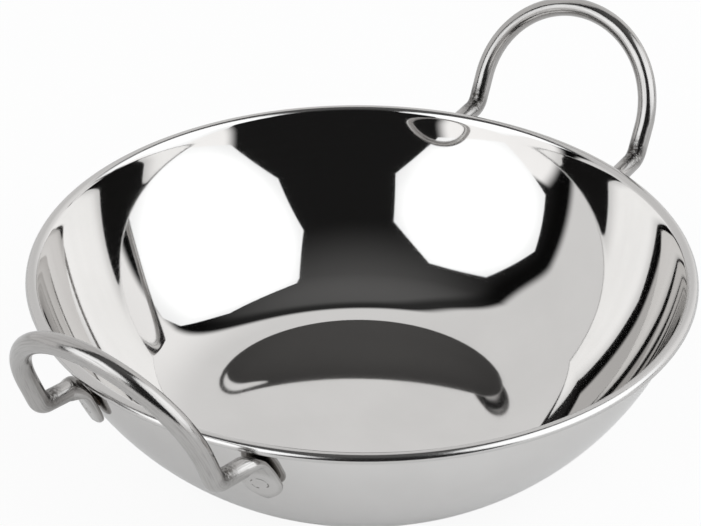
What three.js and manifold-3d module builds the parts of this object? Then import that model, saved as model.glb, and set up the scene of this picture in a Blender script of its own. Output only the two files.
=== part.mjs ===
// Balti dish: a pressed stainless steel bowl with a rolled lip, and two loop handles of round wire.
// Each handle is one bent length of wire. Its two ends are flattened into feet, and one spot weld holds
// each foot to the outside of the bowl, just under the lip.
// Millimetres, +Z up. The origin is the centre of the flat base, on the surface the dish stands on.
// The handles lie on the X axis.

import * as THREE from "three";
import { mergeVertices } from "three/addons/utils/BufferGeometryUtils.js";
import Module from "manifold-3d";

const wasm = await Module();
wasm.setup();

// Bowl: one disc of sheet, drawn to a round wall on a flat base
const RIM_DIAMETER = 150;
const BOWL_HEIGHT = 41.8;
const BASE_DIAMETER = 70; // of the flat that the dish stands on
const BASE_KNUCKLE = 25; // outer radius where the base turns up into the wall
const SHEET = 0.8;
const WALL_LEAN = THREE.MathUtils.degToRad(15.2); // of the wall from upright, just under the lip
const LIP_ROLL = 1.4; // radius over the lip, which turns outwards and down from the wall

// Handles: round wire, bent to a loop that stands off the wall
const WIRE_DIAMETER = 4.5;
const LOOP_RADIUS = 23; // to the middle of the wire
const LOOP_UPRIGHT = 8; // straight run from the corner to the round of the loop
const LOOP_LEAN = THREE.MathUtils.degToRad(23); // of the loop from upright, outwards
const STANDOFF = 6.7; // of the corner past the rim
const CORNER_DROP = 3; // of the corner below the top of the lip
const BEND_INSIDE = 0.4; // inside radius of the tight bends at the knee and the corner
const LIP_GAP = 0.3; // between the lip and the wire that passes under it

// Feet: the ends of the wire, flattened against the wall
const FOOT_SPLAY = THREE.MathUtils.degToRad(11); // of each foot away from the other one, down the wall
const FOOT_WIDTH = 8.7;
const FOOT_THICKNESS = 2;
const FOOT_SHOULDER = 6.6; // from the knee to where the foot has its full width
const FOOT_FLAT = 2; // length at full width, before the round end
const FOOT_EDGE_POWER = 3; // 2 is a round section, more is a flat one with rounded edges
const SEAT_GAP = 0.3; // between the foot and the wall

// Spot welds: one in the middle of each foot's flat
const WELD_DIAMETER = 4;
const WELD_DEPTH = 0.7; // of the weld into the foot
const WELD_CLEARANCE = 0.2; // round the weld, on every side
const DIMPLE_DIAMETER = 4.8; // that the electrode leaves on the face of the foot
const DIMPLE_DEPTH = 0.25;

// Facets
const BOWL_SEGMENTS = 64;
const KNUCKLE_STEPS = 5;
const WALL_STEPS = 9;
const ROLL_STEPS = 3; // up to the top of the lip, and again from there down to its edge
const LIP_EDGE_STEPS = 4;
const WIRE_SIDES = 14;
const LOOP_STEPS = 12;
const BEND_STEPS = 6;
const SHOULDER_STEPS = 4;
const FOOT_END_STEPS = 5;
const WELD_SEGMENTS = 20;
const DIMPLE_STEPS = 4;
const SAME_POINT = 1e-4;

const UP = new THREE.Vector3(0, 0, 1);
const RIM_RADIUS = RIM_DIAMETER / 2;
const WIRE_RADIUS = WIRE_DIAMETER / 2;
const BEND_RADIUS = WIRE_RADIUS + BEND_INSIDE;

function steel(color, roughness) {
  return new THREE.MeshStandardMaterial({ color, metalness: 1, roughness });
}

function namedMesh(name, geometry, material) {
  const mesh = new THREE.Mesh(geometry, material);
  mesh.name = name;
  return mesh;
}

// A list of values made by calling a function with shares from 0 to 1.
function spread(steps, valueAt) {
  return Array.from({ length: steps + 1 }, (_, step) => valueAt(step / steps));
}

// A solid of revolution about Z, from a profile of radius and height.
function turned(profile, segments) {
  return new THREE.LatheGeometry(profile, segments).rotateX(Math.PI / 2);
}

// Points on an arc in the plane of radius and height, by angle from the outward direction.
function arcPoints(centre, radius, from, to, steps) {
  return spread(steps, (share) => {
    const angle = THREE.MathUtils.lerp(from, to, share);
    return new THREE.Vector2(radius * Math.cos(angle), radius * Math.sin(angle)).add(centre);
  });
}

// A closed solid for joining and cutting, from a geometry whose corners are first made shared.
function solidOf(geometry) {
  const bare = geometry.clone();
  bare.deleteAttribute("normal");
  bare.deleteAttribute("uv");
  const merged = mergeVertices(bare, SAME_POINT);
  const corners = merged.index.array;
  const triVerts = [];
  for (let i = 0; i < corners.length; i += 3) {
    const triangle = corners.slice(i, i + 3);
    if (new Set(triangle).size === 3) {
      triVerts.push(...triangle);
    }
  }
  const vertProperties = merged.attributes.position.array;
  const mesh = new wasm.Mesh({ numProp: 3, vertProperties, triVerts: new Uint32Array(triVerts) });
  return new wasm.Manifold(mesh);
}

function geometryOf(solid) {
  const { vertProperties, triVerts } = solid.getMesh();
  const geometry = new THREE.BufferGeometry();
  geometry.setAttribute("position", new THREE.BufferAttribute(vertProperties, 3));
  geometry.setIndex(new THREE.BufferAttribute(triVerts, 1));
  geometry.computeVertexNormals();
  return geometry;
}

// The bowl's curves. The wall is one arc, which runs smoothly into the knuckle of the base below and the
// roll of the lip above. The sheet keeps its thickness, so its two faces share every centre.
const wallOutward = new THREE.Vector2(Math.cos(WALL_LEAN), -Math.sin(WALL_LEAN));
const rollCentre = new THREE.Vector2(RIM_RADIUS - LIP_ROLL, BOWL_HEIGHT - LIP_ROLL);
const wallTop = rollCentre.clone().addScaledVector(wallOutward, SHEET - LIP_ROLL);
const knuckleCentre = new THREE.Vector2(BASE_DIAMETER / 2, BASE_KNUCKLE);
const wallSpan = wallTop.clone().sub(knuckleCentre);
const wallRadius =
  (wallSpan.lengthSq() - BASE_KNUCKLE ** 2) / (2 * (wallSpan.dot(wallOutward) - BASE_KNUCKLE));
const wallCentre = wallTop.clone().addScaledVector(wallOutward, -wallRadius);
const knuckleAngle = knuckleCentre.clone().sub(wallCentre).angle() - 2 * Math.PI;

// One face of the sheet, at a depth below the outer face, from the flat base to the edge of the lip.
function sheetFace(depth) {
  const knuckle = arcPoints(knuckleCentre, BASE_KNUCKLE - depth, -Math.PI / 2, knuckleAngle, KNUCKLE_STEPS);
  const wall = arcPoints(wallCentre, wallRadius - depth, knuckleAngle, -WALL_LEAN, WALL_STEPS);
  const rollRadius = LIP_ROLL - SHEET + depth;
  const rollUp = arcPoints(rollCentre, rollRadius, Math.PI - WALL_LEAN, Math.PI / 2, ROLL_STEPS);
  const rollDown = arcPoints(rollCentre, rollRadius, Math.PI / 2, 0, ROLL_STEPS);
  return [...knuckle, ...wall.slice(1), ...rollUp.slice(1), ...rollDown.slice(1)];
}

function bowlGeometry() {
  const lipEdge = new THREE.Vector2(RIM_RADIUS - SHEET / 2, rollCentre.y);
  const profile = [
    new THREE.Vector2(0, 0),
    ...sheetFace(0),
    ...arcPoints(lipEdge, SHEET / 2, -Math.PI, 0, LIP_EDGE_STEPS).slice(1, -1),
    ...sheetFace(SHEET).reverse(),
    new THREE.Vector2(0, SHEET),
  ];
  return turned(profile, BOWL_SEGMENTS);
}

// A foot lies along a line that touches the wall behind its weld, and the two feet splay apart downwards.
// A handle's own frame has X outwards, Y along the rim and Z up.
const lipUnderside = rollCentre.y - SHEET / 2;
const kneeHeight = lipUnderside - LIP_GAP - WIRE_RADIUS;
const kneeToWeld = FOOT_SHOULDER + FOOT_FLAT / 2;
const weldDrop = kneeToWeld * Math.cos(FOOT_SPLAY);
const weldAside = kneeToWeld * Math.sin(FOOT_SPLAY);
const footLineRadius = wallRadius + SEAT_GAP + WIRE_RADIUS;
const footLean =
  Math.atan2(weldDrop, footLineRadius) +
  Math.asin((wallCentre.y - kneeHeight) / Math.hypot(footLineRadius, weldDrop));
const kneeReach = wallCentre.x + footLineRadius * Math.cos(footLean) + weldDrop * Math.sin(footLean);
const weldTurn = Math.atan2(weldAside, kneeReach) + Math.asin(LOOP_RADIUS / Math.hypot(kneeReach, weldAside));
const footNormal = new THREE.Vector3(Math.cos(footLean), 0, -Math.sin(footLean)).applyAxisAngle(UP, weldTurn);
const footUp = new THREE.Vector3(weldDrop * Math.sin(footLean), -weldAside, weldDrop * Math.cos(footLean))
  .normalize()
  .applyAxisAngle(UP, weldTurn);
const knee = new THREE.Vector3(kneeReach, -weldAside, kneeHeight).applyAxisAngle(UP, weldTurn);
const weldSeat = knee
  .clone()
  .addScaledVector(footUp, -kneeToWeld)
  .addScaledVector(footNormal, -SEAT_GAP - WIRE_RADIUS);

// The turn between two straight runs of wire that meet at a corner, as points on its centre line.
function bendPoints(before, corner, after) {
  const into = corner.clone().sub(before).normalize();
  const out = after.clone().sub(corner).normalize();
  const angle = into.angleTo(out);
  const start = corner.clone().addScaledVector(into, -BEND_RADIUS * Math.tan(angle / 2));
  const axis = into.clone().cross(out).normalize();
  const centre = axis.clone().cross(into).multiplyScalar(BEND_RADIUS).add(start);
  const arm = start.clone().sub(centre);
  return spread(BEND_STEPS, (share) => arm.clone().applyAxisAngle(axis, angle * share).add(centre));
}

// Stations along half of a handle, from the end of a foot to the top of the loop: the middle of the
// round wire, and how wide and how flat the wire is there, as shares of the foot's full form.
function halfHandleStations() {
  const halfWidth = FOOT_WIDTH / 2;
  const corner = new THREE.Vector3(RIM_RADIUS + STANDOFF, LOOP_RADIUS, BOWL_HEIGHT - CORNER_DROP);
  const loopUp = new THREE.Vector3(Math.sin(LOOP_LEAN), 0, Math.cos(LOOP_LEAN));
  const spring = corner.clone().addScaledVector(loopUp, LOOP_UPRIGHT);
  const footAt = (distance) => knee.clone().addScaledVector(footUp, -distance);
  const kneeBend = bendPoints(footAt(FOOT_SHOULDER), knee, corner);
  const shoulderTop = kneeBend[0].distanceTo(knee);
  const bendLength = BEND_RADIUS * footUp.angleTo(corner.clone().sub(knee));
  const shoulderLength = bendLength + FOOT_SHOULDER - shoulderTop;

  const roundEnd = spread(FOOT_END_STEPS, (share) => {
    const angle = (Math.PI / 2) * share;
    const at = footAt(FOOT_SHOULDER + FOOT_FLAT + halfWidth * Math.cos(angle));
    return { at, width: halfWidth * Math.sin(angle), flat: 1 };
  });
  const shoulder = spread(SHOULDER_STEPS, (share) => {
    const run = bendLength + (FOOT_SHOULDER - shoulderTop) * (1 - share);
    const spreading = Math.sin(((Math.PI / 2) * run) / shoulderLength);
    const at = footAt(THREE.MathUtils.lerp(FOOT_SHOULDER, shoulderTop, share));
    return { at, width: THREE.MathUtils.lerp(WIRE_RADIUS, halfWidth, spreading), flat: 1 };
  });
  const bend = kneeBend.map((at, step) => {
    const share = 1 - step / BEND_STEPS;
    const spreading = Math.sin(((Math.PI / 2) * share * bendLength) / shoulderLength);
    const width = THREE.MathUtils.lerp(WIRE_RADIUS, halfWidth, spreading);
    return { at, width, flat: THREE.MathUtils.smoothstep(share, 0, 1) };
  });
  const cornerBend = bendPoints(knee, corner, spring);
  const loop = spread(LOOP_STEPS, (share) => {
    const angle = (Math.PI / 2) * share;
    const at = spring.clone().addScaledVector(loopUp, LOOP_RADIUS * Math.sin(angle));
    return at.setY(LOOP_RADIUS * Math.cos(angle));
  });
  const roundWire = [...cornerBend, ...loop].map((at) => ({ at, width: WIRE_RADIUS, flat: 0 }));
  return [...roundEnd.slice(1), ...shoulder, ...bend.slice(1), ...roundWire];
}

// One section of the wire: round where it isn't flattened, and pressed towards the wall where it is.
function sectionRing(station, across, normal) {
  const halfThickness = THREE.MathUtils.lerp(WIRE_RADIUS, FOOT_THICKNESS / 2, station.flat);
  const exponent = 2 / THREE.MathUtils.lerp(2, FOOT_EDGE_POWER, station.flat);
  const centre = station.at.clone().addScaledVector(normal, halfThickness - WIRE_RADIUS);
  return Array.from({ length: WIRE_SIDES }, (_, side) => {
    const angle = (2 * Math.PI * side) / WIRE_SIDES;
    const x = Math.sign(Math.cos(angle)) * Math.abs(Math.cos(angle)) ** exponent;
    const y = Math.sign(Math.sin(angle)) * Math.abs(Math.sin(angle)) ** exponent;
    const point = centre.clone().addScaledVector(across, x * station.width);
    return point.addScaledVector(normal, y * halfThickness);
  });
}

function mirrored(point) {
  return new THREE.Vector3(point.x, -point.y, point.z);
}

// The rings of half a handle. The section keeps its hold on the wire, so it doesn't twist along it.
function halfHandleRings() {
  const stations = halfHandleStations();
  const last = stations.length - 1;
  const normal = footNormal.clone();
  return stations.map((station, i) => {
    const before = stations[Math.max(i - 1, 0)].at;
    const after = i === last ? mirrored(before) : stations[i + 1].at;
    const along = after.clone().sub(before).normalize();
    normal.addScaledVector(along, -normal.dot(along)).normalize();
    return sectionRing(station, normal.clone().cross(along), normal);
  });
}

// A closed skin over rings with equal numbers of points, with a flat cap at each end.
function loft(rings) {
  const sides = rings[0].length;
  const capMiddles = [rings[0], rings.at(-1)].map((ring) =>
    ring.reduce((sum, point) => sum.add(point), new THREE.Vector3()).divideScalar(sides),
  );
  const firstCap = rings.length * sides;
  const lastCap = firstCap + 1;
  const lastRing = firstCap - sides;
  const corners = [];
  for (let side = 0; side < sides; side++) {
    const next = (side + 1) % sides;
    for (let start = 0; start < lastRing; start += sides) {
      corners.push(start + side, start + next, start + next + sides);
      corners.push(start + side, start + next + sides, start + side + sides);
    }
    corners.push(firstCap, next, side, lastCap, lastRing + side, lastRing + next);
  }
  const geometry = new THREE.BufferGeometry();
  geometry.setFromPoints([...rings.flat(), ...capMiddles]);
  geometry.setIndex(corners);
  return geometry;
}

// A weld, or with a margin the pocket that clears it, standing on the wall with its axis along Z.
function weldGeometry(margin) {
  const radius = WELD_DIAMETER / 2 + margin;
  const foot = WELD_CLEARANCE - margin;
  const top = SEAT_GAP + WELD_DEPTH + margin;
  const profile = [
    new THREE.Vector2(0, foot),
    new THREE.Vector2(radius, foot),
    new THREE.Vector2(radius, SEAT_GAP),
    new THREE.Vector2(radius - WELD_DEPTH, top),
    new THREE.Vector2(0, top),
  ];
  return turned(profile, WELD_SEGMENTS);
}

// The domed tip of the electrode, standing in the dimple that it leaves.
function dimpleGeometry() {
  const radius = DIMPLE_DIAMETER / 2;
  const face = SEAT_GAP + FOOT_THICKNESS;
  const domeRadius = (radius ** 2 + DIMPLE_DEPTH ** 2) / (2 * DIMPLE_DEPTH);
  const domeCentre = new THREE.Vector2(0, face - DIMPLE_DEPTH + domeRadius);
  const edgeAngle = -Math.acos(radius / domeRadius);
  const profile = [
    ...arcPoints(domeCentre, domeRadius, -Math.PI / 2, edgeAngle, DIMPLE_STEPS),
    new THREE.Vector2(radius, face + FOOT_THICKNESS),
    new THREE.Vector2(0, face + FOOT_THICKNESS),
  ];
  return turned(profile, WELD_SEGMENTS);
}

// Puts a geometry that stands on the wall, along Z, at the weld of the foot on one side of a handle.
function atWeld(geometry, side) {
  const seat = side > 0 ? weldSeat : mirrored(weldSeat);
  const normal = side > 0 ? footNormal : mirrored(footNormal);
  const turn = new THREE.Quaternion().setFromUnitVectors(UP, normal);
  return geometry.applyQuaternion(turn).translate(seat.x, seat.y, seat.z);
}

const SIDES = [1, -1];

function handleGeometry() {
  const half = halfHandleRings();
  const otherHalf = half.slice(0, -1).reverse().map((ring) => ring.map(mirrored));
  let wire = solidOf(loft([...half, ...otherHalf]));
  for (const side of SIDES) {
    wire = wire.subtract(solidOf(atWeld(weldGeometry(WELD_CLEARANCE), side)));
    wire = wire.subtract(solidOf(atWeld(dimpleGeometry(), side)));
  }
  return geometryOf(wire);
}

// A handle with its welds. The one on the left is the one on the right, turned half round.
function handle(name, turn) {
  const group = new THREE.Group();
  group.rotation.z = turn;
  group.add(namedMesh(name, handleGeometry(), steel(0xc4c2bf, 0.2)));
  for (const side of SIDES) {
    const place = side * Math.cos(turn) > 0 ? "rear" : "front";
    group.add(namedMesh(`${name}_${place}_weld`, atWeld(weldGeometry(0), side), steel(0x9a9894, 0.5)));
  }
  return group;
}

const dish = new THREE.Group();
dish.add(namedMesh("bowl", bowlGeometry(), steel(0xd6d6d4, 0.05)));
dish.add(handle("right_handle", 0));
dish.add(handle("left_handle", Math.PI));

export default dish;
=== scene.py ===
"""Balti dish: a mirror-polished steel bowl with two loop handles of bent round wire.

The dish stands on the origin with its handles on the X axis. Lengths are in metres.
"""

import math

import bpy
import numpy as np
from bpy.props import FloatProperty, FloatVectorProperty, PointerProperty
from mathutils import Matrix, Vector


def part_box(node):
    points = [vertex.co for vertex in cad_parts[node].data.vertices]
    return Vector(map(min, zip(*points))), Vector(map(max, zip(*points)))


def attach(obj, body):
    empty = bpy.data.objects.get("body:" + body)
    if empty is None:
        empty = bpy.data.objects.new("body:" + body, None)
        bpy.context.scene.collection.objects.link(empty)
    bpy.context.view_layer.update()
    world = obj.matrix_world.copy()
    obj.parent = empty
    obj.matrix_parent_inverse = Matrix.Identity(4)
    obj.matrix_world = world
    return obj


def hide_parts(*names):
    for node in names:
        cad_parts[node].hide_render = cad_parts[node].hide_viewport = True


bl_info = {
    "name": "Balti dish",
    "version": (1, 0, 0),
    "blender": (4, 5, 0),
    "location": "3D View > Sidebar > Balti dish",
    "description": "Builds a polished steel balti dish and the studio that it stands in",
    "category": "Add Mesh",
}

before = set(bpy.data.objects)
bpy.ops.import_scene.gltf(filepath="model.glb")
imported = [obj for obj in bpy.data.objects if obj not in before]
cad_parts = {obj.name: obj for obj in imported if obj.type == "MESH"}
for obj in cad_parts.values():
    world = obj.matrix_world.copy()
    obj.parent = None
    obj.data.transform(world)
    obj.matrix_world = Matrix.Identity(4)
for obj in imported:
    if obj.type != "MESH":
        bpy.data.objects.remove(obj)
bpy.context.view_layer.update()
BOWL_LOW, BOWL_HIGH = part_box("bowl")
WELD_NODES = [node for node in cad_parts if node.endswith("_weld")]
UP = Vector((0, 0, 1))
WHITE = (1, 1, 1, 1)

# Facets of the fine meshes
BOWL_SEGMENTS = 256
BASE_RINGS = 8
EASE_STEPS = 32
KNUCKLE_STEPS = 48
WALL_STEPS = 54
FLARE_STEPS = 16
ROLL_STEPS = 24
LIP_EDGE_STEPS = 12
WIRE_SIDES = 48
SECTION_STEPS = 720
LOOP_STEPS = 64
BEND_STEPS = 28
SHOULDER_STEPS = 24
FOOT_FLAT_STEPS = 10
FOOT_END_STEPS = 18
FLOOR_SIDES = 96

# 2 gives a foot a round section, more a flat one with rounded edges
FOOT_EDGE_POWER = 3
OCTAGON_SIDES = 8
# Light runs on round the inside of a polished bowl
MIRROR_BOUNCES = 12

# Polished sheet: features to a metre, the span of noise in which each mark shows, and lengths
BUFFING_SCALE = 2500
BLOOM_SCALE = 45
WAVE_SCALE = 28
WORN_SPAN = (0.1, 0.45)
WIPED_SPAN = (0.35, 0.7)
WAVE_DEPTH = 0.00002
LIP_BLEND = 0.0004

# Wire: features to a wire's radius, and the span of noise in which each mark shows
DRAWING_STRETCH = (9, 9, 0.35)
GRAIN_SCALE = 9
WEAR_SCALE = 0.6
BREAK_SCALE = 2.2
WRINKLE_SCALE = 3.5
STREAK_SPAN = (0.42, 0.72)
POLISH_SPAN = (0.3, 0.75)
BREAK_SPAN = (0.48, 0.58)
WRINKLE_SPAN = (0.36, 0.6)
# Reaches round a weld, in radii of the electrode's mark, and from the middle of a bend, in metres
PRESSED_REACH = (1.4, 2.2)
RING_REACHES = (0.66, 0.78, 0.9)
BEND_REACH = (0.0018, 0.0054)
# Painted shade darkens the inside of each bend, out to the bend's reach above. Share of the painted shade
# and the dulled polish on the brightest spots inside a bend
LEAST_DULL_AND_SHADE = 0.45
# Heights of the ring and the wrinkles beside the drawing marks, and the depth of these
RING_HEIGHT = -4
WRINKLE_HEIGHT = 16
WIRE_DEPTH = 0.000008

# Fused steel: features to a metre, spans of noise, and the polish and depth of its grain
FUSED_GRAIN_SCALE = 2200
HEAT_SCALE = 500
HEAT_SPAN = (0.4, 0.65)
FUSED_SPAN = (0.3, 0.7)
FUSED_ROUGHNESS = (0.35, 0.6)
FUSED_DEPTH = 0.00008

# Room: spans of direction in which one light passes into the next, from -1 to 1
OVERHEAD_SPAN = (0.7, 1.08)
SHADE_SPAN = (-0.2, -0.07)
PALE_SPAN = (-0.025, 0.045)
RIGHT_SPAN = (0.1, 0.75)
PANEL_TOP_BLUR = 0.015
PANEL_SIDE_BLUR = 0.02
# Share of the dark half's light that is left beside the pale half
SHADE_LIGHT = 0.3
# Share of a softbox's radius that is as bright as its middle
BRIGHT_SHARE = 0.5

MILLIMETRES = 1000
SENSOR_WIDTH = 36


def length(name, default, description):
    """A length that a user can change, in metres."""
    return FloatProperty(name=name, description=description, default=default, unit="LENGTH", precision=5)


def angle(name, default, description):
    """An angle that a user can change, given here in degrees."""
    return FloatProperty(
        name=name, description=description, default=math.radians(default), subtype="ANGLE"
    )


def factor(name, default, description):
    """A share from 0 to 1 that a user can change."""
    return FloatProperty(
        name=name, description=description, default=default, min=0, max=1, subtype="FACTOR"
    )


def level(name, default, description):
    """A strength of light that a user can change, where 1 is white."""
    return FloatProperty(name=name, description=description, default=default, min=0)


def colour(name, default, description):
    """A colour that a user can change, in linear red, green and blue."""
    return FloatVectorProperty(
        name=name, description=description, default=default, min=0, max=1, subtype="COLOR"
    )


class BowlSizes(bpy.types.PropertyGroup):
    """Sizes of the drawn steel bowl."""

    rim_diameter: length("Rim diameter", BOWL_HIGH.x - BOWL_LOW.x, "Across the outside of the lip")
    height: length("Height", BOWL_HIGH.z - BOWL_LOW.z, "From the flat base to the top of the lip")
    base_diameter: length("Base diameter", 0.07, "Across the base, to where a plain knuckle would begin")
    base_knuckle: length("Base knuckle", 0.025, "Outer radius where the base turns up into the wall")
    base_ease: length("Base ease", 0.012, "Length in which the base takes up the curve of the knuckle")
    sheet: length("Sheet", 0.0008, "Thickness of the steel sheet")
    wall_lean: angle("Wall lean", 15.2, "Lean of the outer wall from upright, just under the lip")
    lip_roll: length("Lip roll", 0.0014, "Outer radius of the lip, which is rolled outwards and down")
    flare: length("Flare", 0.00007, "How far the inside of the wall draws in below the lip")
    flare_height: length("Flare height", 0.0024, "Height in which the wall flares out to the lip")
    flare_fade: length("Flare fade", 0.028, "Height in which the flare dies out down the wall")


class HandleSizes(bpy.types.PropertyGroup):
    """Sizes of the bent wire handles and their flattened feet."""

    wire_diameter: length("Wire diameter", 0.0045, "Thickness of the round wire")
    loop_radius: length("Loop radius", 0.023, "Radius of the loop, to the middle of the wire")
    loop_upright: length("Loop upright", 0.008, "Straight run from the corner to the round of the loop")
    loop_lean: angle("Loop lean", 23, "Lean of the loop from upright, outwards")
    standoff: length("Standoff", 0.0067, "How far the corner stands out past the rim")
    corner_drop: length("Corner drop", 0.003, "How far the corner lies below the top of the lip")
    corner_inside: length("Corner inside", 0.0012, "Inside radius of the tight bend at the corner")
    knee_inside: length("Knee inside", 0.0022, "Inside radius of the rounder bend at the knee")
    lip_gap: length("Lip gap", 0.0003, "Gap between the lip and the wire that passes under it")
    foot_splay: angle("Foot splay", 11, "Turn of each foot away from the other one, down the wall")
    foot_width: length("Foot width", 0.0087, "Width of the flattened foot")
    foot_thickness: length("Foot thickness", 0.002, "Thickness of the flattened foot")
    foot_shoulder: length("Foot shoulder", 0.0066, "From the knee to where the foot has its full width")
    foot_flat: length("Foot flat", 0.002, "Length of the foot at full width, before its round end")
    seat_gap: length("Seat gap", 0.0003, "Gap between the foot and the wall")
    dimple_diameter: length("Dimple diameter", 0.0048, "Across the mark that the weld leaves on the foot")
    dimple_depth: length("Dimple depth", 0.00025, "Depth of the mark that the weld leaves on the foot")


class Finishes(bpy.types.PropertyGroup):
    """Colours and polish of the three kinds of steel, and the colour of the floor."""

    bowl_colour: colour("Bowl", (0.66, 0.648, 0.637), "Mirror-polished steel sheet")
    bowl_wiped_colour: colour("Bowl, wiped", (0.633, 0.621, 0.61), "Sheet with a cloth's bloom on it")
    bowl_roughness: factor("Bowl roughness", 0.03, "Polish of the cleanest sheet")
    bowl_bloom: factor("Bowl bloom", 0.05, "Polish of the sheet where it is most wiped")
    bowl_slant_tint: colour("Bowl at a slant", (0.97, 0.97, 0.97), "Tint of the sheet seen at a slant")
    lip_colour: colour("Lip", (0.55, 0.539, 0.53), "Satin steel of the rolled lip")
    lip_roughness: factor("Lip roughness", 0.17, "Polish of the rolled lip")
    wire_colour: colour("Wire", (0.44, 0.428, 0.418), "Polished steel wire")
    wire_streak_colour: colour("Wire streaks", (0.275, 0.266, 0.258), "Drawing marks along the wire")
    wire_roughness: factor("Wire roughness", 0.12, "Polish of the wire between its drawing marks")
    wire_streak_roughness: factor("Wire streak roughness", 0.24, "Polish of the drawing marks")
    foot_colour: colour("Foot", (0.55, 0.537, 0.526), "Face of a foot, which the die presses bright")
    # Painted shade: this colour darkens the inside of each bend; the steel there is also left less
    # polished
    bend_shade_colour: colour("Bend", (0.06, 0.056, 0.052), "Dull steel inside a bend, where no wheel reaches")
    bend_roughness: factor("Bend roughness", 0.24, "Polish of the dull steel inside a bend")
    mark_colour: colour("Electrode mark", (0.13, 0.12, 0.11), "Pitted ring of the weld on a foot")
    weld_colour: colour("Weld", (0.5, 0.48, 0.45), "Fused steel")
    weld_heat_colour: colour("Weld heat", (0.22, 0.16, 0.12), "Heat tint on the fused steel")
    floor_colour: colour("Floor", (0.93, 0.93, 0.93), "The plain pale floor")


class StudioSizes(bpy.types.PropertyGroup):
    """Where the camera, the softboxes and the two halves of the room stand, and their light.

    Turns go round from the camera's right-hand side, towards what is behind the dish.
    """

    camera_azimuth: angle("Camera azimuth", 54.668, "Turn of the view from the Y axis towards the X axis")
    camera_elevation: angle("Camera elevation", 31.535, "Height of the camera above the rim, as an angle")
    camera_distance: length("Camera distance", 0.55399, "From the middle of the rim to the camera")
    camera_lens: length("Lens", 0.127036, "Focal length on a sensor 36 mm wide")
    aim_yaw: angle("Aim yaw", 0.2685, "Turn of the camera to its left of the middle of the rim")
    aim_pitch: angle("Aim pitch", -0.0345, "Tilt of the camera above the middle of the rim")
    aim_roll: angle("Aim roll", 0.557, "Roll of the camera about its own view")
    floor_radius: length("Floor radius", 4, "From the dish to the edge of the floor")
    box_distance: length("Softbox distance", 1, "From the dish to the middle of each softbox")
    left_box_radius: length("Left softbox radius", 0.595, "From its middle to its corners")
    left_box_stretch: factor("Left softbox stretch", 0.869, "Height of the softbox over its width")
    left_box_turn: angle("Left softbox turn", 219.9, "Direction of the softbox, seen from above")
    left_box_rise: angle("Left softbox rise", 33.3, "Direction of the softbox above the floor")
    left_box_facing: angle("Left softbox facing", 226.3, "Turn of the softbox about an upright")
    left_box_tilt: angle("Left softbox tilt", 21, "How far the softbox faces down")
    left_box_roll: angle("Left softbox roll", 6.7, "Turn of the softbox in its own plane")
    right_box_radius: length("Right softbox radius", 0.746, "From its middle to its corners")
    right_box_stretch: factor("Right softbox stretch", 0.929, "Height of the softbox over its width")
    right_box_turn: angle("Right softbox turn", -19.6, "Direction of the softbox, seen from above")
    right_box_rise: angle("Right softbox rise", 33.3, "Direction of the softbox above the floor")
    right_box_facing: angle("Right softbox facing", -4.8, "Turn of the softbox about an upright")
    right_box_tilt: angle("Right softbox tilt", 33.5, "How far the softbox faces down")
    right_box_roll: angle("Right softbox roll", 2.5, "Turn of the softbox in its own plane")
    box_colour: colour("Softbox colour", (0.965, 0.985, 1), "Light of the softboxes, a little cool")
    box_middle_light: level("Softbox middle", 2.0, "Light from the middle of a softbox")
    box_edge_light: level("Softbox edge", 1.35, "Light from the corners of a softbox")
    room_light: level("Room light", 0.62, "Even light from all round on matt surfaces")
    floor_white: factor("Floor white", 0.91, "Share of plain white in the floor, as the camera sees it")
    floor_white_in_metal: factor("Floor white in metal", 0.08, "The same share, as metal shows it")
    pale_turn: angle("Pale turn", 101, "Direction of the pale half of the room, seen from above")
    pale_rise: angle("Pale rise", -22.4, "Direction of the pale half of the room above the floor")
    corner_turn: angle("Corner turn", 170, "Direction of the corner that is cut off the dark half")
    corner_rise: angle("Corner rise", 57, "Direction of that corner, seen from the side")
    corner_width: angle("Corner width", 60, "Width of the cut at that corner")
    corner_cut: factor("Corner cut", 0.13, "Depth of the cut at that corner, as a share of the room")
    pale_light: level("Pale light", 0.91, "The pale half of the room, as metal shows it")
    pale_right_light: level("Pale light, right", 1.2, "The pale half of the room at the right-hand side")
    panel_width: angle("Panel width", 46, "Width of the low pale panel under each softbox")
    panel_rise: angle("Panel rise", 10, "Height of the low pale panels, as an angle")
    panel_light: level("Panel light", 1.36, "The low pale panels, as metal shows them")
    dark_low: level("Dark, low", 0.0125, "The dark half of the room below what is overhead")
    dark_high: level("Dark, high", 0.148, "The dark half of the room overhead")


def arc_points(centre, radius, start, end, steps, facing):
    """Points on an arc with their normals, in the plane of radius and height.

    The normals point away from the centre where facing is 1, and towards it where it is -1.
    """
    turn = np.linspace(start, end, steps + 1)
    spokes = np.stack([np.cos(turn), np.sin(turn)], axis=1)
    return np.asarray(centre) + radius * spokes, facing * spokes


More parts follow.
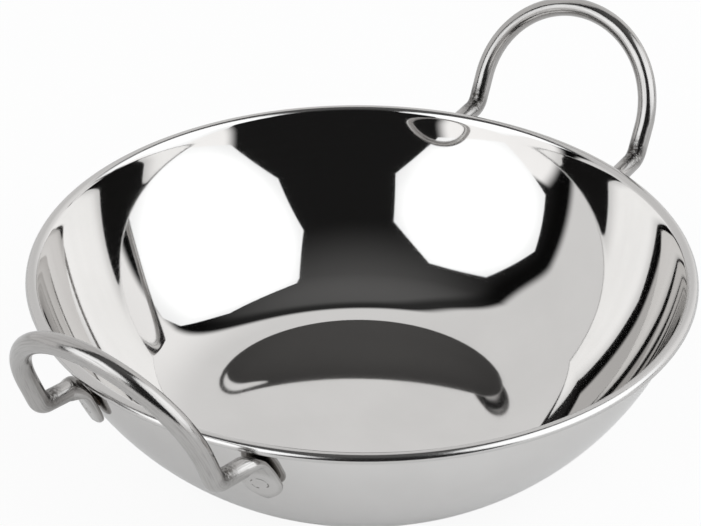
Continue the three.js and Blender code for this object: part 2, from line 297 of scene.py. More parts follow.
class BowlCurves:
    """The curves of the bowl's section, which both faces of the sheet share."""

    def __init__(self, sizes):
        self.sizes = sizes
        rim_radius = sizes.rim_diameter / 2
        knuckle = sizes.base_knuckle
        outward = np.array([math.cos(sizes.wall_lean), -math.sin(sizes.wall_lean)])
        self.roll_centre = np.array([rim_radius - sizes.lip_roll, sizes.height - sizes.lip_roll])
        self.lip_edge = np.array([rim_radius - sizes.sheet / 2, self.roll_centre[1]])
        wall_top = self.roll_centre + (sizes.sheet - sizes.lip_roll) * outward
        # The ease is a clothoid, by the first terms of its series
        self.ease_run = np.linspace(0, sizes.base_ease, EASE_STEPS + 1)
        self.ease_turn = self.ease_run**2 / (2 * sizes.base_ease * knuckle)
        rise = self.ease_turn * self.ease_run / 3 * (1 - self.ease_turn**2 / 14)
        reach = self.ease_run * (1 - self.ease_turn**2 / 10)
        last_turn = self.ease_turn[-1]
        self.flat_radius = sizes.base_diameter / 2 + knuckle * math.sin(last_turn) - reach[-1]
        self.ease = np.stack([self.flat_radius + reach, rise], axis=1)
        knuckle_height = rise[-1] + knuckle * math.cos(last_turn)
        self.knuckle_centre = np.array([sizes.base_diameter / 2, knuckle_height])
        span = wall_top - self.knuckle_centre
        self.wall_radius = (span @ span - knuckle**2) / (2 * (span @ outward - knuckle))
        self.wall_centre = wall_top - self.wall_radius * outward
        drop = self.knuckle_centre - self.wall_centre
        self.knuckle_angle = math.atan2(drop[1], drop[0])

    def flare_tilt(self):
        """How far the flare, which runs up with the third power, turns the wall outwards at the lip."""
        return 3 * self.sizes.flare / self.sizes.flare_height

    def flared(self, points, normals):
        """The inside of the wall, drawn in a little and then flared out to the lip."""
        sizes = self.sizes
        steps = np.linalg.norm(np.diff(points, axis=0), axis=1)
        below = np.append(np.cumsum(steps[::-1])[::-1], 0)
        near = np.clip(1 - below / sizes.flare_height, 0, 1)
        fade = np.clip(1 - (below - sizes.flare_height) / (sizes.flare_fade - sizes.flare_height), 0, 1)
        drawn_in = sizes.flare * (1 - near**3) * fade**2 * (3 - 2 * fade)
        upward = np.stack([-normals[:, 1], normals[:, 0]], axis=1)
        upward *= np.sign(upward[:, 1:])
        slope = np.gradient(drawn_in, -below, edge_order=2)
        tilted = normals - slope[:, None] * upward
        tilted /= np.linalg.norm(tilted, axis=1)[:, None]
        return points + drawn_in[:, None] * normals, tilted

    def sheet_face(self, depth, facing):
        """One face of the sheet from the middle of the base to the lip, and the normals there."""
        sizes = self.sizes
        flat = np.linspace(0, self.flat_radius, BASE_RINGS, endpoint=False)[1:]
        base = np.stack([flat, np.full_like(flat, depth)], axis=1)
        base_normals = np.tile([0.0, -facing], (len(flat), 1))
        ease_normals = np.stack([np.sin(self.ease_turn), -np.cos(self.ease_turn)], axis=1)
        ease = self.ease - depth * ease_normals
        knuckle_start = self.ease_turn[-1] - math.pi / 2
        knuckle_radius = sizes.base_knuckle - depth
        wall_radius = self.wall_radius - depth
        wall_start = self.knuckle_angle
        wall_end = -sizes.wall_lean
        flare_start = wall_end - sizes.flare_height / wall_radius
        roll_radius = sizes.lip_roll - sizes.sheet + depth
        inside = facing < 0
        roll_start = math.pi + wall_end
        if inside:
            roll_start -= self.flare_tilt()
        arcs = [
            (self.knuckle_centre, knuckle_radius, knuckle_start, wall_start, KNUCKLE_STEPS, facing),
            (self.wall_centre, wall_radius, wall_start, flare_start, WALL_STEPS, facing),
            (self.wall_centre, wall_radius, flare_start, wall_end, FLARE_STEPS, facing),
            (self.roll_centre, roll_radius, roll_start, 0, ROLL_STEPS, -facing),
        ]
        runs = [arc_points(*arc) for arc in arcs]
        points = [run[0][1:] for run in runs]
        normals = [run[1][1:] for run in runs]
        wall_points = np.concatenate(points[1:3])
        wall_normals = np.concatenate(normals[1:3])
        if inside:
            wall_points, wall_normals = self.flared(wall_points, wall_normals)
        points = [base, ease, points[0], wall_points, points[3]]
        normals = [base_normals, facing * ease_normals, normals[0], wall_normals, normals[3]]
        return np.concatenate(points), np.concatenate(normals)

    def profile(self):
        """The closed section of the sheet, from the middle underneath to the middle inside."""
        outside, outside_normals = self.sheet_face(0, 1)
        inside, inside_normals = self.sheet_face(self.sizes.sheet, -1)
        half_sheet = self.sizes.sheet / 2
        edge, edge_normals = arc_points(self.lip_edge, half_sheet, -math.pi, 0, LIP_EDGE_STEPS, 1)
        points = np.concatenate([outside, edge[1:-1], inside[::-1]])
        return points, np.concatenate([outside_normals, edge_normals[1:-1], inside_normals[::-1]])


def mesh_object(name, vertices, faces, normals=None):
    """A smooth-shaded mesh object in the scene, with its vertex normals where they are known."""
    mesh = bpy.data.meshes.new(name)
    mesh.from_pydata([tuple(v) for v in vertices], [], faces)
    mesh.shade_smooth()
    if normals is not None:
        mesh.normals_split_custom_set_from_vertices([tuple(n) for n in normals])
    piece = bpy.data.objects.new(name, mesh)
    bpy.context.scene.collection.objects.link(piece)
    return piece


def ring_faces(first, second, count):
    """Quads between two closed rings of vertices, given by their first vertices."""
    return [
        (first + i, first + (i + 1) % count, second + (i + 1) % count, second + i)
        for i in range(count)
    ]


def turned_mesh(name, points, normals, segments):
    """A closed solid of revolution about Z, from a profile that starts and ends near the axis."""
    turn = np.arange(segments) * 2 * math.pi / segments
    spokes = np.stack([np.cos(turn), np.sin(turn)], axis=1)
    rings = [np.column_stack([r * spokes, np.full(segments, z)]) for r, z in points]
    ring_normals = [np.column_stack([r * spokes, np.full(segments, z)]) for r, z in normals]
    poles = np.array([[0, 0, points[0][1]], [0, 0, points[-1][1]]])
    pole_normals = np.array([[0, 0, normals[0][1]], [0, 0, normals[-1][1]]])
    faces = []
    for ring in range(len(points) - 1):
        faces += ring_faces(ring * segments, (ring + 1) * segments, segments)
    last = (len(points) - 1) * segments
    bottom = len(points) * segments
    for i in range(segments):
        following = (i + 1) % segments
        faces.append((bottom, following, i))
        faces.append((bottom + 1, last + i, last + following))
    vertices = np.concatenate(rings + [poles])
    return mesh_object(name, vertices, faces, np.concatenate(ring_normals + [pole_normals]))


def node_tree(material):
    """The empty node tree of a new material or world."""
    material.use_nodes = True
    material.node_tree.nodes.clear()
    return material.node_tree


def add_node(tree, kind, inputs=None, **settings):
    """A new node, with its inputs set to values or linked to the sockets given."""
    node = tree.nodes.new(kind)
    for name, value in settings.items():
        setattr(node, name, value)
    for name, value in (inputs or {}).items():
        if isinstance(value, bpy.types.NodeSocket):
            tree.links.new(value, node.inputs[name])
        else:
            node.inputs[name].default_value = value
    return node


def noise(tree, vector, scale, detail):
    """Even grey noise, with so many features to a unit of the vector."""
    inputs = {"Vector": vector, "Scale": scale, "Detail": detail}
    return add_node(tree, "ShaderNodeTexNoise", inputs).outputs["Fac"]


def ranged(tree, value, low, high, to_low, to_high):
    """A value moved smoothly from one range to another, and held at its ends."""
    inputs = {"Value": value, "From Min": low, "From Max": high, "To Min": to_low, "To Max": to_high}
    return add_node(tree, "ShaderNodeMapRange", inputs, interpolation_type="SMOOTHSTEP").outputs["Result"]


def blended(tree, share, first, second):
    """One colour passing into another."""
    inputs = {"Factor": share, 6: opaque(first), 7: opaque(second)}
    return add_node(tree, "ShaderNodeMix", inputs, data_type="RGBA").outputs[2]


def opaque(colour_value):
    """A colour with its alpha of 1 added, or the socket that carries one."""
    if isinstance(colour_value, bpy.types.NodeSocket):
        return colour_value
    return (*colour_value, 1)


def combined(tree, operation, first, second):
    """Two values put together by a sum of the kind named."""
    return add_node(tree, "ShaderNodeMath", {0: first, 1: second}, operation=operation).outputs[0]


def steel(tree, base_colour, roughness, normal):
    """The shader of bare metal, from its varying colour, polish and bumps."""
    inputs = {"Base Color": base_colour, "Roughness": roughness, "Normal": normal, "Metallic": 1}
    shader = add_node(tree, "ShaderNodeBsdfPrincipled", inputs)
    add_node(tree, "ShaderNodeOutputMaterial", {"Surface": shader.outputs["BSDF"]})
    return shader


def bumped(tree, height, depth):
    """A normal turned by a height map that is so many metres deep."""
    inputs = {"Height": height, "Strength": 1, "Distance": depth}
    return add_node(tree, "ShaderNodeBump", inputs).outputs["Normal"]


def distance_from_middle(tree, place):
    """The distance of a place from the origin of its coordinates."""
    return add_node(tree, "ShaderNodeVectorMath", {0: place}, operation="LENGTH").outputs["Value"]


def polished_sheet(finish, lip_start):
    """Mirror-polished sheet: faint buffing rings, a cloth's bloom and a slow waviness."""
    material = bpy.data.materials.new("polished_sheet")
    tree = node_tree(material)
    place = add_node(tree, "ShaderNodeTexCoord").outputs["Object"]
    flat = add_node(tree, "ShaderNodeVectorMath", {0: place, 1: (1, 1, 0)}, operation="MULTIPLY")
    radius = distance_from_middle(tree, flat.outputs["Vector"])
    inputs = {"W": radius, "Scale": BUFFING_SCALE, "Detail": 3}
    rings = add_node(tree, "ShaderNodeTexNoise", inputs, noise_dimensions="1D").outputs["Fac"]
    bloom = noise(tree, place, BLOOM_SCALE, 4)
    worn = combined(tree, "MULTIPLY", bloom, rings)
    sheet_roughness = ranged(tree, worn, *WORN_SPAN, finish.bowl_roughness, finish.bowl_bloom)
    on_lip = ranged(tree, radius, lip_start, lip_start + LIP_BLEND, 0, 1)
    lip_roughness = combined(tree, "MULTIPLY", on_lip, finish.lip_roughness)
    roughness = combined(tree, "MAXIMUM", sheet_roughness, lip_roughness)
    wiped = ranged(tree, bloom, *WIPED_SPAN, 0, 1)
    sheet_colour = blended(tree, wiped, finish.bowl_colour, finish.bowl_wiped_colour)
    base_colour = blended(tree, on_lip, sheet_colour, finish.lip_colour)
    waves = bumped(tree, noise(tree, place, WAVE_SCALE, 1), WAVE_DEPTH)
    shader = steel(tree, base_colour, roughness, waves)
    shader.inputs["Specular Tint"].default_value = opaque(finish.bowl_slant_tint)
    return material


def noted(tree, name, output):
    """A value that the mesh keeps at each of its points."""
    return add_node(tree, "ShaderNodeAttribute", attribute_name=name).outputs[output]


def drawn_wire(finish, mark_radius):
    """Polished wire: drawing marks, a fine grain, bends that are less polished and darkened inside with
    painted shade, and the electrode's ring on each foot.
    """
    material = bpy.data.materials.new("drawn_wire")
    tree = node_tree(material)
    place = noted(tree, "wire_place", "Vector")
    inputs = {"Vector": place, "Scale": DRAWING_STRETCH}
    streaks = noise(tree, add_node(tree, "ShaderNodeMapping", inputs).outputs["Vector"], 1, 3)
    grain = noise(tree, place, GRAIN_SCALE, 2)
    marks = ranged(tree, streaks, *STREAK_SPAN, 0, 1)
    wear = combined(tree, "MULTIPLY", marks, noise(tree, place, WEAR_SCALE, 3))
    wire_colour = blended(tree, wear, finish.wire_colour, finish.wire_streak_colour)

    from_weld = noted(tree, "weld_distance", "Fac")
    press_start, press_end = (reach * mark_radius for reach in PRESSED_REACH)
    pressed = ranged(tree, from_weld, press_start, press_end, 1, 0)
    wire_colour = blended(tree, pressed, wire_colour, finish.foot_colour)
    ring_start, ring_middle, ring_end = (reach * mark_radius for reach in RING_REACHES)
    inner = ranged(tree, from_weld, ring_start, ring_middle, 0, 1)
    outer = ranged(tree, from_weld, ring_middle, ring_end, 1, 0)
    broken = ranged(tree, noise(tree, place, BREAK_SCALE, 1), *BREAK_SPAN, 0, 1)
    ring = combined(tree, "MULTIPLY", combined(tree, "MULTIPLY", inner, outer), broken)

    # Painted shade: the inside of each bend is darkened towards the bend colour in wrinkled patches, and
    # the same mask makes the polish rougher there
    inside_bend = ranged(tree, noted(tree, "bend_distance", "Fac"), *BEND_REACH, 1, 0)
    wrinkles = noise(tree, place, WRINKLE_SCALE, 3)
    dull_and_shaded = combined(tree, "MULTIPLY", inside_bend, ranged(tree, wrinkles, *WRINKLE_SPAN, LEAST_DULL_AND_SHADE, 1))
    wire_colour = blended(tree, dull_and_shaded, wire_colour, finish.bend_shade_colour)
    base_colour = blended(tree, ring, wire_colour, finish.mark_colour)

    polish = ranged(tree, streaks, *POLISH_SPAN, finish.wire_roughness, finish.wire_streak_roughness)
    bend_polish = combined(tree, "MULTIPLY", dull_and_shaded, finish.bend_roughness)
    roughness = combined(tree, "MAXIMUM", polish, bend_polish)
    pitted = combined(tree, "MULTIPLY", ring, RING_HEIGHT)
    surface = combined(tree, "ADD", combined(tree, "ADD", streaks, grain), pitted)
    wrinkled = combined(tree, "MULTIPLY", inside_bend, wrinkles)
    creased = combined(tree, "MULTIPLY", wrinkled, WRINKLE_HEIGHT)
    height = combined(tree, "ADD", surface, creased)
    steel(tree, base_colour, roughness, bumped(tree, height, WIRE_DEPTH))
    return material


def fused_steel(finish):
    """The welds: grainy fused steel with a heat tint in patches."""
    material = bpy.data.materials.new("fused_steel")
    tree = node_tree(material)
    place = add_node(tree, "ShaderNodeTexCoord").outputs["Object"]
    grain = noise(tree, place, FUSED_GRAIN_SCALE, 4)
    tint = ranged(tree, noise(tree, place, HEAT_SCALE, 2), *HEAT_SPAN, 0, 1)
    base_colour = blended(tree, tint, finish.weld_colour, finish.weld_heat_colour)
    roughness = ranged(tree, grain, *FUSED_SPAN, *FUSED_ROUGHNESS)
    steel(tree, base_colour, roughness, bumped(tree, grain, FUSED_DEPTH))
    return material


class BALTI_OT_bowl(bpy.types.Operator):
    """Make the drawn and polished bowl"""

    bl_idname = "balti.bowl"
    bl_label = "Bowl"

    def execute(self, context):
        curves = BowlCurves(context.scene.balti_bowl)
        points, normals = curves.profile()
        piece = turned_mesh("polished_bowl", points, normals, BOWL_SEGMENTS)
        lip_start = curves.roll_centre[0] - curves.sizes.lip_roll
        piece.data.materials.append(polished_sheet(context.scene.balti_finish, lip_start))
        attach(piece, "root")
        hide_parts("bowl")
        return {"FINISHED"}


class HandleForm:
    """The path of a handle's wire and the flattening of its feet, in the frame of the right handle.

    X is outwards, Y along the rim and Z up. Half of the handle is worked out, and the rest is its
    mirror image.
    """

    def __init__(self, bowl, sizes):
        self.sizes = sizes
        self.wire_radius = sizes.wire_diameter / 2
        curves = BowlCurves(bowl)
        centre_reach, centre_height = curves.wall_centre
        lip_underside = curves.lip_edge[1] - bowl.sheet / 2
        knee_height = lip_underside - sizes.lip_gap - self.wire_radius
        knee_to_weld = sizes.foot_shoulder + sizes.foot_flat / 2
        down = knee_to_weld * math.cos(sizes.foot_splay)
        aside = knee_to_weld * math.sin(sizes.foot_splay)
        line_radius = curves.wall_radius + sizes.seat_gap + self.wire_radius
        lean = math.atan2(down, line_radius)
        lean += math.asin((centre_height - knee_height) / math.hypot(line_radius, down))
        knee_reach = centre_reach + line_radius * math.cos(lean) + down * math.sin(lean)
        weld_turn = math.atan2(aside, knee_reach)
        weld_turn += math.asin(sizes.loop_radius / math.hypot(knee_reach, aside))
        turn = Matrix.Rotation(weld_turn, 3, "Z")
        self.knee = turn @ Vector((knee_reach, -aside, knee_height))
        self.foot_normal = turn @ Vector((math.cos(lean), 0, -math.sin(lean)))
        self.foot_up = turn @ Vector((down * math.sin(lean), -aside, down * math.cos(lean))).normalized()
        corner_reach = bowl.rim_diameter / 2 + sizes.standoff
        self.corner = Vector((corner_reach, sizes.loop_radius, bowl.height - sizes.corner_drop))
        self.loop_up = Vector((math.sin(sizes.loop_lean), 0, math.cos(sizes.loop_lean)))
        self.weld = self.foot_at(knee_to_weld)
        self.spring = self.corner + sizes.loop_upright * self.loop_up
        self.knee_bend = self.bend(self.weld, self.knee, self.corner, sizes.knee_inside)
        self.corner_bend = self.bend(self.knee, self.corner, self.spring, sizes.corner_inside)

    def foot_at(self, distance):
        """The middle of the round wire at a distance below the knee."""
        return self.knee - distance * self.foot_up

    def bend(self, before, corner, after, inside):
        """The bend between two straight runs that meet at a corner: its centre, points and length."""
        radius = self.wire_radius + inside
        into = (corner - before).normalized()
        out = (after - corner).normalized()
        turn = into.angle(out)
        start = corner - radius * math.tan(turn / 2) * into
        axis = into.cross(out).normalized()
        centre = start + radius * axis.cross(into)
        points = [
            centre + Matrix.Rotation(turn * step / BEND_STEPS, 3, axis) @ (start - centre)
            for step in range(BEND_STEPS + 1)
        ]
        return centre, points, radius * turn

    def stations(self):
        """The middle of the wire, its half width and its flattening, from a foot to the loop's top."""
        sizes = self.sizes
        half_width = sizes.foot_width / 2
        full_width = sizes.foot_shoulder + sizes.foot_flat
        knee_points, bend_length = self.knee_bend[1:]
        corner_points = self.corner_bend[1]
        shoulder_top = (knee_points[0] - self.knee).length
        spread_length = bend_length + sizes.foot_shoulder - shoulder_top

        def spread(run):
            share = math.sin(math.pi / 2 * run / spread_length)
            return self.wire_radius + (half_width - self.wire_radius) * share

        rows = []
        for step in range(1, FOOT_END_STEPS + 1):
            turn = math.pi / 2 * step / FOOT_END_STEPS
            down = full_width + half_width * math.cos(turn)
            rows.append((self.foot_at(down), half_width * math.sin(turn), 1))
        for step in range(1, FOOT_FLAT_STEPS):
            down = full_width - sizes.foot_flat * step / FOOT_FLAT_STEPS
            rows.append((self.foot_at(down), half_width, 1))
        for step in range(SHOULDER_STEPS):
            down = sizes.foot_shoulder + (shoulder_top - sizes.foot_shoulder) * step / SHOULDER_STEPS
            rows.append((self.foot_at(down), spread(bend_length + down - shoulder_top), 1))
        for step, point in enumerate(knee_points):
            share = 1 - step / BEND_STEPS
            rows.append((point, spread(share * bend_length), share * share * (3 - 2 * share)))
        rows += [(point, self.wire_radius, 0) for point in corner_points]
        for step in range(LOOP_STEPS + 1):
            turn = math.pi / 2 * step / LOOP_STEPS
            point = self.spring + sizes.loop_radius * math.sin(turn) * self.loop_up
            point.y = sizes.loop_radius * math.cos(turn)
            rows.append((point, self.wire_radius, 0))
        return rows

    def section(self, half_width, flat):
        """Points round the wire's section, evenly apart, with across and outwards as their two axes."""
        half_thickness = self.wire_radius + (self.sizes.foot_thickness / 2 - self.wire_radius) * flat
        exponent = 2 / (2 + (FOOT_EDGE_POWER - 2) * flat)
        turn = np.linspace(0, 2 * math.pi, SECTION_STEPS + 1)
        across = half_width * np.sign(np.cos(turn)) * np.abs(np.cos(turn)) ** exponent
        outward = half_thickness * np.sign(np.sin(turn)) * np.abs(np.sin(turn)) ** exponent
        run = np.concatenate([[0], np.cumsum(np.hypot(np.diff(across), np.diff(outward)))])
        even = np.arange(WIRE_SIDES) * run[-1] / WIRE_SIDES
        # The face towards the wall stays where the round wire's side is
        outward += half_thickness - self.wire_radius
        return np.interp(even, run, across), np.interp(even, run, outward)

    def rings(self):
        """Rings of points for half of the handle, from the foot's end to the loop's top."""
        rows = self.stations()
        normal = self.foot_normal.copy()
        rings = []
        for i, (point, half_width, flat) in enumerate(rows):
            before = rows[max(i - 1, 0)][0]
            after = rows[i + 1][0] if i + 1 < len(rows) else mirrored(before)
            heading = (after - before).normalized()
            normal = (normal - normal.dot(heading) * heading).normalized()
            across = normal.cross(heading)
            section = np.stack(self.section(half_width, flat), axis=1).tolist()
            rings.append([self.dimpled(point + x * across + y * normal) for x, y in section])
        return rings

    def dimpled(self, point):
        """A point of the wire, pressed in where the electrode stood on the outer face of the foot."""
        offset = point - self.weld
        height = offset.dot(self.foot_normal)
        radius = (offset - height * self.foot_normal).length
        face = self.sizes.foot_thickness - self.wire_radius
        reach = self.sizes.dimple_diameter / 2
        if height < face - self.sizes.foot_thickness / 2 or radius > reach:
            return point
        press = self.sizes.dimple_depth * (1 - (radius / reach) ** 2)
        return point - press * self.foot_normal


def mirrored(point):
    """The same point on the other side of the plane through both handles."""
    return Vector((point.x, -point.y, point.z))


def lofted_mesh(name, rings):
    """A closed skin over rings with equal numbers of points, with a cap at each end."""
    count = len(rings[0])
    vertices = [point for ring in rings for point in ring]
    faces = []
    for i in range(len(rings) - 1):
        faces += ring_faces(i * count, (i + 1) * count, count)
    last = (len(rings) - 1) * count
    faces.append(tuple(reversed(range(count))))
    faces.append(tuple(range(last, last + count)))
    return mesh_object(name, vertices, faces)


def note_wire_places(piece, rings, wire_radius):
    """Keep each point's place round and along the wire, in wire radii, for the drawing marks."""
    middles = np.array([np.mean(ring, axis=0) for ring in rings])
    steps = np.linalg.norm(np.diff(middles, axis=0), axis=1)
    run = np.concatenate([[0], np.cumsum(steps)]) / wire_radius
    turn = np.tile(np.arange(WIRE_SIDES) * 2 * math.pi / WIRE_SIDES, len(rings))
    places = np.stack([np.cos(turn), np.sin(turn), np.repeat(run, WIRE_SIDES)], axis=1)
    attribute = piece.data.attributes.new("wire_place", "FLOAT_VECTOR", "POINT")
    attribute.data.foreach_set("vector", places.ravel())


def note_distances(piece, rings, name, places):
    """Keep each point's distance from the nearest of some places on its handle, or their images."""
    targets = [*places, *map(mirrored, places)]
    points = [point for ring in rings for point in ring]
    distances = [min((point - target).length for target in targets) for point in points]
    attribute = piece.data.attributes.new(name, "FLOAT", "POINT")
    attribute.data.foreach_set("value", distances)


class BALTI_OT_handles(bpy.types.Operator):
    """Bend and flatten the two wire handles"""

    bl_idname = "balti.handles"
    bl_label = "Handles"

    def execute(self, context):
        form = HandleForm(context.scene.balti_bowl, context.scene.balti_handle)
        material = drawn_wire(context.scene.balti_finish, form.sizes.dimple_diameter / 2)
        half = form.rings()
        other_half = [[mirrored(point) for point in ring] for ring in reversed(half[:-1])]
        rings = half + other_half
        bend_middles = [form.knee_bend[0], form.corner_bend[0]]
        for side, facing in (("right", 1), ("left", -1)):
            turned = [[Vector((facing * p.x, facing * p.y, p.z)) for p in ring] for ring in rings]
            piece = lofted_mesh(f"{side}_wire_handle", turned)
            note_wire_places(piece, turned, form.wire_radius)
            note_distances(piece, rings, "weld_distance", [form.weld])
            note_distances(piece, rings, "bend_distance", bend_middles)
            piece.data.materials.append(material)
            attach(piece, "root")
            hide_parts(f"{side}_handle")
        return {"FINISHED"}


class BALTI_OT_welds(bpy.types.Operator):
    """Finish the spot welds between the feet and the wall"""

    bl_idname = "balti.welds"
    bl_label = "Welds"

    def execute(self, context):
        material = fused_steel(context.scene.balti_finish)
        for node in WELD_NODES:
            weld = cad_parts[node]
            weld.data.materials.clear()
            weld.data.materials.append(material)
        return {"FINISHED"}


def studio_direction(studio, turn, rise):
    """A direction from the dish, given by its turn from the camera's right and its rise."""
    turn = turn - studio.camera_azimuth
    return Vector((math.cos(turn) * math.cos(rise), math.sin(turn) * math.cos(rise), math.sin(rise)))


def rim_middle(bowl):
    """The middle of the rim, half a sheet below its top."""
    return Vector((0, 0, bowl.height - bowl.sheet / 2))


def place_camera(scene):
    """The camera, aimed at the middle of the rim and then turned a little."""
    studio = scene.balti_studio
    rim = rim_middle(scene.balti_bowl)
    towards_camera = studio_direction(studio, -math.pi / 2, studio.camera_elevation)
    right = studio_direction(studio, 0, 0)
    aim = Matrix((right, towards_camera.cross(right), towards_camera)).transposed()
    aim = aim @ Matrix.Rotation(studio.aim_yaw, 3, "Y")
    aim = aim @ Matrix.Rotation(studio.aim_pitch, 3, "X")
    aim = aim @ Matrix.Rotation(studio.aim_roll, 3, "Z")
    camera = bpy.data.objects.new("camera", bpy.data.cameras.new("camera"))
    camera.data.lens = studio.camera_lens * MILLIMETRES
    camera.data.sensor_width = SENSOR_WIDTH
    camera.matrix_world = Matrix.Translation(rim + studio.camera_distance * towards_camera) @ aim.to_4x4()
    scene.collection.objects.link(camera)
    scene.camera = camera


def softbox_cloth(studio, side, radius):
    """The glowing front of a softbox, a little brighter in its middle."""
    material = bpy.data.materials.new(f"{side}_softbox_cloth")
    tree = node_tree(material)
    place = add_node(tree, "ShaderNodeTexCoord").outputs["Object"]
    reach = distance_from_middle(tree, place)
    lights = (studio.box_middle_light, studio.box_edge_light)
    strength = ranged(tree, reach, BRIGHT_SHARE * radius, radius, *lights)
    inputs = {"Color": opaque(studio.box_colour), "Strength": strength}
    glow = add_node(tree, "ShaderNodeEmission", inputs)
    add_node(tree, "ShaderNodeOutputMaterial", {"Surface": glow.outputs["Emission"]})
    return material


def place_softbox(scene, side):
    """An eight-sided softbox that lights the dish and shows in the polish, but not to the camera."""
    studio = scene.balti_studio

    def size(name):
        return getattr(studio, f"{side}_box_{name}")

    middle = studio_direction(studio, size("turn"), size("rise"))
    towards_dish = -studio_direction(studio, size("facing"), size("tilt"))
    level_side = -studio_direction(studio, size("facing") + math.pi / 2, 0)
    aim = Matrix((level_side, towards_dish.cross(level_side), towards_dish)).transposed().to_4x4()
    turn = np.arange(OCTAGON_SIDES) * 2 * math.pi / OCTAGON_SIDES + size("roll")
    outline = np.column_stack([np.cos(turn), size("stretch") * np.sin(turn), np.zeros(OCTAGON_SIDES)])
    box = mesh_object(f"{side}_softbox", size("radius") * outline, [tuple(range(OCTAGON_SIDES))])
    place = rim_middle(scene.balti_bowl) + studio.box_distance * middle
    box.matrix_world = Matrix.Translation(place) @ aim
    box.data.materials.append(softbox_cloth(studio, side, size("radius")))
    box.visible_camera = False


def seen_rays(tree):
    """Two switches: 1 on the camera's own rays, and 1 on the rays that metal or glass sends on."""
    rays = add_node(tree, "ShaderNodeLightPath").outputs
    sent_on = combined(tree, "MAXIMUM", rays["Is Glossy Ray"], rays["Is Transmission Ray"])
    return rays["Is Camera Ray"], sent_on


def lay_floor(studio, finish):
    """A wide pale floor, which shows nearly white and keeps a soft shadow of the dish."""
    turn = np.arange(FLOOR_SIDES) * 2 * math.pi / FLOOR_SIDES
    edge = studio.floor_radius * np.column_stack([np.cos(turn), np.sin(turn), np.zeros(FLOOR_SIDES)])
    floor = mesh_object("floor", edge, [tuple(range(FLOOR_SIDES))])
    material = bpy.data.materials.new("pale_floor")
    tree = node_tree(material)
    inputs = {"Color": opaque(finish.floor_colour)}
    matt = add_node(tree, "ShaderNodeBsdfDiffuse", inputs).outputs["BSDF"]
    white = add_node(tree, "ShaderNodeEmission").outputs["Emission"]
    direct, sent_on = seen_rays(tree)
    to_camera = combined(tree, "MULTIPLY", direct, studio.floor_white)
    in_metal = combined(tree, "MULTIPLY", sent_on, studio.floor_white_in_metal)
    share = combined(tree, "MAXIMUM", to_camera, in_metal)
    surface = add_node(tree, "ShaderNodeMixShader", {0: share, 1: matt, 2: white}).outputs["Shader"]
    add_node(tree, "ShaderNodeOutputMaterial", {"Surface": surface})
    material.cycles.emission_sampling = "NONE"
    floor.data.materials.append(material)


def along(tree, way, direction):
    """How far a way points along a direction, from -1 to 1."""
    inputs = {0: way, 1: direction}
    return add_node(tree, "ShaderNodeVectorMath", inputs, operation="DOT_PRODUCT").outputs["Value"]


def room_picture(tree, studio):
    """What metal shows of the room: pale behind the dish and under the softboxes, dark elsewhere."""
    way = add_node(tree, "ShaderNodeTexCoord").outputs["Generated"]
    rise = along(tree, way, UP)
    corner = along(tree, way, studio_direction(studio, studio.corner_turn, studio.corner_rise))
    cut = ranged(tree, corner, math.cos(studio.corner_width / 2), 1, 0, studio.corner_cut)
    towards_pale = along(tree, way, studio_direction(studio, studio.pale_turn, studio.pale_rise))
    depth = combined(tree, "ADD", towards_pale, cut)
    rightward = along(tree, way, studio_direction(studio, 0, 0))
    overhead = ranged(tree, rise, *OVERHEAD_SPAN, studio.dark_low, studio.dark_high)
    shade = ranged(tree, depth, *SHADE_SPAN, 1, SHADE_LIGHT)
    dark = combined(tree, "MULTIPLY", overhead, shade)
    pale = ranged(tree, rightward, *RIGHT_SPAN, studio.pale_light, studio.pale_right_light)
    inputs = {"Factor": ranged(tree, depth, *PALE_SPAN, 0, 1), "A": dark, "B": pale}
    shown = add_node(tree, "ShaderNodeMix", inputs).outputs["Result"]
    top = math.sin(studio.panel_rise)
    low = ranged(tree, rise, top - PANEL_TOP_BLUR, top + PANEL_TOP_BLUR, studio.panel_light, 0)
    edge = math.cos(studio.panel_width / 2)
    for turn in (studio.left_box_turn, studio.right_box_turn):
        under_box = along(tree, way, studio_direction(studio, turn, 0))
        panel = ranged(tree, under_box, edge - PANEL_SIDE_BLUR, edge + PANEL_SIDE_BLUR, 0, 1)
        shown = combined(tree, "MAXIMUM", shown, combined(tree, "MULTIPLY", panel, low))
    return shown


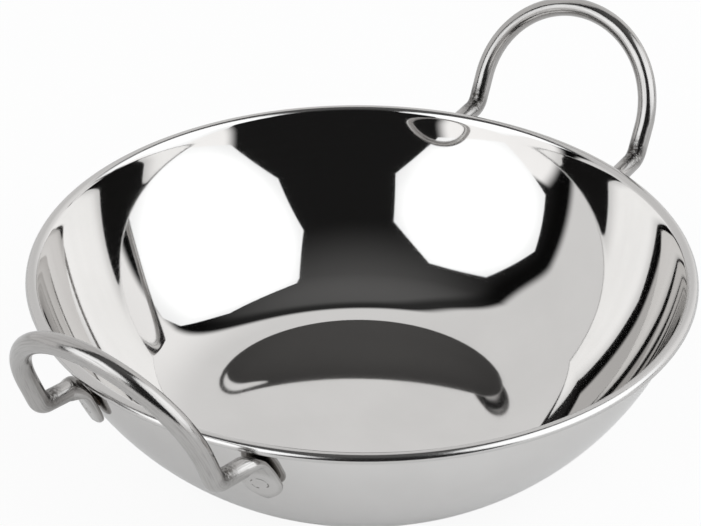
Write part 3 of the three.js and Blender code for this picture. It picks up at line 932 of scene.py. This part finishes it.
def light_room(scene):
    """The room: even light on matt surfaces, white to the camera, and its own picture in metal."""
    studio = scene.balti_studio
    scene.world = bpy.data.worlds.new("studio_room")
    tree = node_tree(scene.world)
    direct, sent_on = seen_rays(tree)
    shown = combined(tree, "MAXIMUM", room_picture(tree, studio), direct)
    inputs = {"Color": WHITE, "Strength": studio.room_light}
    even = add_node(tree, "ShaderNodeBackground", inputs).outputs["Background"]
    inputs = {"Color": WHITE, "Strength": shown}
    picture = add_node(tree, "ShaderNodeBackground", inputs).outputs["Background"]
    seen = combined(tree, "MAXIMUM", direct, sent_on)
    room = add_node(tree, "ShaderNodeMixShader", {0: seen, 1: even, 2: picture}).outputs["Shader"]
    add_node(tree, "ShaderNodeOutputWorld", {"Surface": room})


class BALTI_OT_stage(bpy.types.Operator):
    """Set up the camera, the floor, the softboxes and the room"""

    bl_idname = "balti.stage"
    bl_label = "Stage"

    def execute(self, context):
        scene = context.scene
        scene.view_settings.view_transform = "Standard"
        scene.cycles.glossy_bounces = MIRROR_BOUNCES
        scene.cycles.min_light_bounces = MIRROR_BOUNCES
        place_camera(scene)
        lay_floor(scene.balti_studio, scene.balti_finish)
        for side in ("left", "right"):
            place_softbox(scene, side)
        light_room(scene)
        return {"FINISHED"}


class BALTI_PT_dish(bpy.types.Panel):
    """The dish's pieces, sizes and finishes"""

    bl_idname = "BALTI_PT_dish"
    bl_label = "Balti dish"
    bl_space_type = "VIEW_3D"
    bl_region_type = "UI"
    bl_category = "Balti dish"

    def draw(self, context):
        for operator in OPERATORS:
            self.layout.operator(operator.bl_idname)
        for name in GROUPS:
            group = getattr(context.scene, name)
            box = self.layout.box()
            for size in group.bl_rna.properties:
                if size.identifier not in ("rna_type", "name"):
                    box.prop(group, size.identifier)


OPERATORS = (BALTI_OT_bowl, BALTI_OT_handles, BALTI_OT_welds, BALTI_OT_stage)
GROUPS = {
    "balti_bowl": BowlSizes,
    "balti_handle": HandleSizes,
    "balti_finish": Finishes,
    "balti_studio": StudioSizes,
}


def register():
    for cls in (*GROUPS.values(), *OPERATORS, BALTI_PT_dish):
        bpy.utils.register_class(cls)
    for name, group in GROUPS.items():
        setattr(bpy.types.Scene, name, PointerProperty(type=group))


def unregister():
    for name in GROUPS:
        delattr(bpy.types.Scene, name)
    for cls in (BALTI_PT_dish, *OPERATORS, *GROUPS.values()):
        bpy.utils.unregister_class(cls)


def main():
    register()
    bpy.ops.balti.bowl()
    bpy.ops.balti.handles()
    bpy.ops.balti.welds()
    bpy.ops.balti.stage()


if __name__ == "__main__":
    main()
